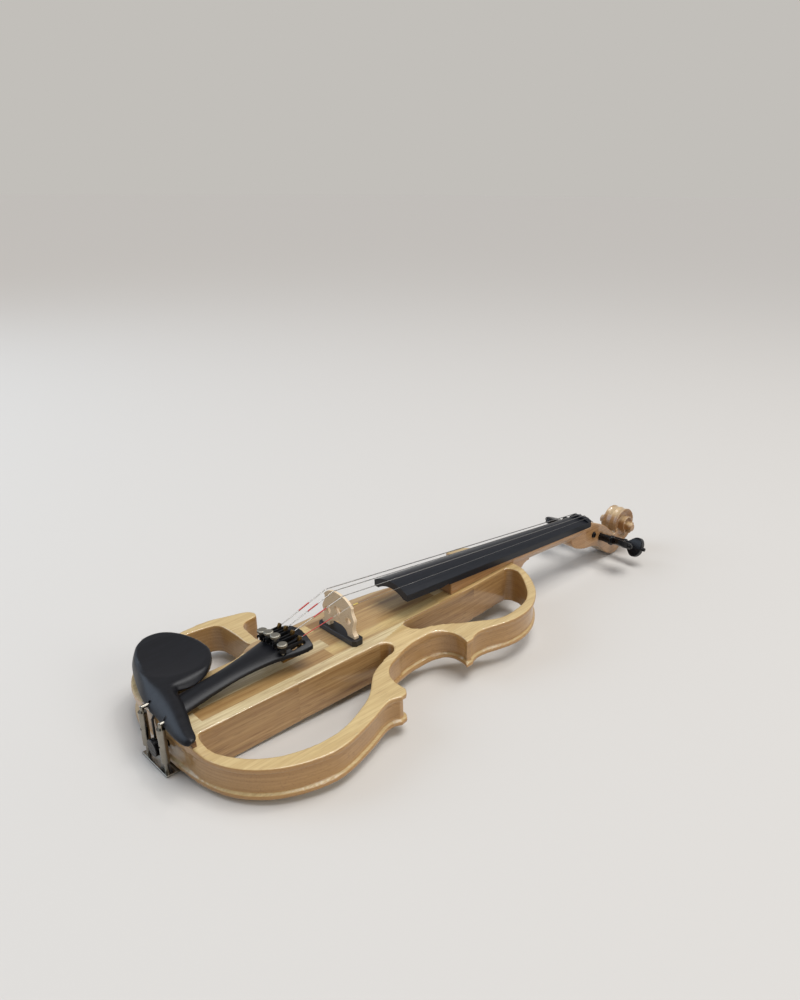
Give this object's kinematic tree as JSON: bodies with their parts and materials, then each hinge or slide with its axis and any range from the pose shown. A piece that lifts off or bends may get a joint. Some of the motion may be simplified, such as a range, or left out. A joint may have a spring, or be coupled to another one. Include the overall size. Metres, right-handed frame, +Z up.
{
  "type": "electric violin",
  "caption": "Solid-core electric violin with an open treble frame, a bass hook, turning pegs, fine tuners on a tailpiece, a bridge on a pickup bar and a clamped chin rest.",
  "frame": {"origin": "on the flat back of the core, straight under the bridge", "axes": "+X across the strings towards the treble side, +Y along the strings from tail to scroll, +Z up from the back"},
  "size_m": [0.2133, 0.594, 0.0933],
  "materials": {
    "varnished_wood": "clear gloss varnish over pale glued staves",
    "black_wood": "satin black",
    "bare_maple": "bare, lightly oiled",
    "string_steel": "wound and plain wire",
    "black_metal": "black",
    "brass": "polished",
    "nickel": "nickel plate",
    "black_plastic": "black",
    "pale_plastic": "translucent yellow",
    "red_silk": "wound silk thread",
    "cork": "sheet cork",
    "green_board": "circuit board",
    "battery_case": "plain"
  },
  "bodies": {
    "violin": {"core_block": "varnished_wood", "treble_frame": "varnished_wood", "bass_hook": "varnished_wood", "bass_horn": "varnished_wood", "neck": "varnished_wood", "pegbox_scroll": "varnished_wood", "fingerboard": "black_wood", "string_g": "string_steel", "string_d": "string_steel", "string_a": "string_steel", "string_e": "string_steel", "nut": "black_wood", "bridge": "bare_maple", "pickup_bar": "black_plastic", "pickup_lead": "black_plastic", "string_silk": "red_silk", "e_string_sleeve": "pale_plastic", "tailpiece": "black_wood", "tuner_frame_g": "black_metal", "tuner_frame_d": "black_metal", "tuner_frame_a": "black_metal", "tuner_frame_e": "black_metal", "saddle": "black_wood", "end_button": "black_wood", "tail_gut": "black_plastic", "chin_rest": "black_wood", "chin_rest_cork": "cork", "clamp_rods": "nickel", "clamp_foot": "nickel", "clamp_foot_cork": "cork", "control_plate": "black_plastic", "control_plate_screws": "nickel", "output_jack": "nickel", "headphone_jack": "nickel", "control_pots": "nickel", "preamp_board": "green_board", "battery": "battery_case", "battery_cover": "black_plastic", "battery_cover_screws": "nickel"},
    "peg_g": {"peg_g": "black_wood"},
    "tuner_screw_g": {"tuner_screw_g": "nickel"},
    "tuner_lever_g": {"tuner_lever_g": "brass"},
    "peg_d": {"peg_d": "black_wood"},
    "tuner_screw_d": {"tuner_screw_d": "nickel"},
    "tuner_lever_d": {"tuner_lever_d": "brass"},
    "peg_a": {"peg_a": "black_wood"},
    "tuner_screw_a": {"tuner_screw_a": "nickel"},
    "tuner_lever_a": {"tuner_lever_a": "brass"},
    "peg_e": {"peg_e": "black_wood"},
    "tuner_screw_e": {"tuner_screw_e": "nickel"},
    "tuner_lever_e": {"tuner_lever_e": "brass"},
    "clamp_barrel_bass": {"clamp_barrel_bass": "nickel"},
    "clamp_barrel_treble": {"clamp_barrel_treble": "nickel"},
    "volume_knob": {"volume_knob": "black_plastic"},
    "tone_knob": {"tone_knob": "black_plastic"}
  },
  "joints": [
    {"name": "peg_turn_g", "type": "hinge", "parent": "violin", "child": "peg_g", "pos_m": [0, 0.3385, 0.0173], "axis": [1, 0, 0], "continuous": true},
    {"name": "peg_turn_e", "type": "hinge", "parent": "violin", "child": "peg_e", "pos_m": [0, 0.352, 0.01095], "axis": [1, 0, 0], "continuous": true},
    {"name": "peg_turn_d", "type": "hinge", "parent": "violin", "child": "peg_d", "pos_m": [0, 0.3655, 0.00461], "axis": [1, 0, 0], "continuous": true},
    {"name": "peg_turn_a", "type": "hinge", "parent": "violin", "child": "peg_a", "pos_m": [0, 0.379, -0.00173], "axis": [1, 0, 0], "continuous": true},
    {"name": "tuner_turn_g", "type": "hinge", "parent": "violin", "child": "tuner_screw_g", "pos_m": [-0.0132, -0.0655, 0.05461], "axis": [0, 0, 1], "range_deg": [-1080, 0]},
    {"name": "lever_tip_g", "type": "hinge", "parent": "violin", "child": "tuner_lever_g", "pos_m": [-0.0132, -0.05, 0.05571], "axis": [1, 0, 0], "range_deg": [0, 6]},
    {"name": "tuner_turn_d", "type": "hinge", "parent": "violin", "child": "tuner_screw_d", "pos_m": [-0.0044, -0.0655, 0.05593], "axis": [0, 0, 1], "range_deg": [-1080, 0]},
    {"name": "lever_tip_d", "type": "hinge", "parent": "violin", "child": "tuner_lever_d", "pos_m": [-0.0044, -0.05, 0.05703], "axis": [1, 0, 0], "range_deg": [0, 6]},
    {"name": "tuner_turn_a", "type": "hinge", "parent": "violin", "child": "tuner_screw_a", "pos_m": [0.0044, -0.0655, 0.05593], "axis": [0, 0, 1], "range_deg": [-1080, 0]},
    {"name": "lever_tip_a", "type": "hinge", "parent": "violin", "child": "tuner_lever_a", "pos_m": [0.0044, -0.05, 0.05703], "axis": [1, 0, 0], "range_deg": [0, 6]},
    {"name": "tuner_turn_e", "type": "hinge", "parent": "violin", "child": "tuner_screw_e", "pos_m": [0.0132, -0.0655, 0.05461], "axis": [0, 0, 1], "range_deg": [-1080, 0]},
    {"name": "lever_tip_e", "type": "hinge", "parent": "violin", "child": "tuner_lever_e", "pos_m": [0.0132, -0.05, 0.05571], "axis": [1, 0, 0], "range_deg": [0, 6]},
    {"name": "barrel_turn_bass", "type": "hinge", "parent": "violin", "child": "clamp_barrel_bass", "pos_m": [-0.0135, -0.1683, 0.025], "axis": [0, 0, 1], "range_deg": [-1080, 1080]},
    {"name": "barrel_turn_treble", "type": "hinge", "parent": "violin", "child": "clamp_barrel_treble", "pos_m": [0.0135, -0.1683, 0.025], "axis": [0, 0, 1], "range_deg": [-1080, 1080]},
    {"name": "volume_turn", "type": "hinge", "parent": "violin", "child": "volume_knob", "pos_m": [-0.037, -0.1244, 0.0165], "axis": [1, 0, 0], "range_deg": [-150, 150]},
    {"name": "tone_turn", "type": "hinge", "parent": "violin", "child": "tone_knob", "pos_m": [-0.037, -0.1372, 0.0165], "axis": [1, 0, 0], "range_deg": [-150, 150]}
  ],
  "couplings": [
    {"joint": "lever_tip_g", "follows": "tuner_turn_g", "ratio": -0.0055},
    {"joint": "lever_tip_d", "follows": "tuner_turn_d", "ratio": -0.0055},
    {"joint": "lever_tip_a", "follows": "tuner_turn_a", "ratio": -0.0055},
    {"joint": "lever_tip_e", "follows": "tuner_turn_e", "ratio": -0.0055}
  ]
}
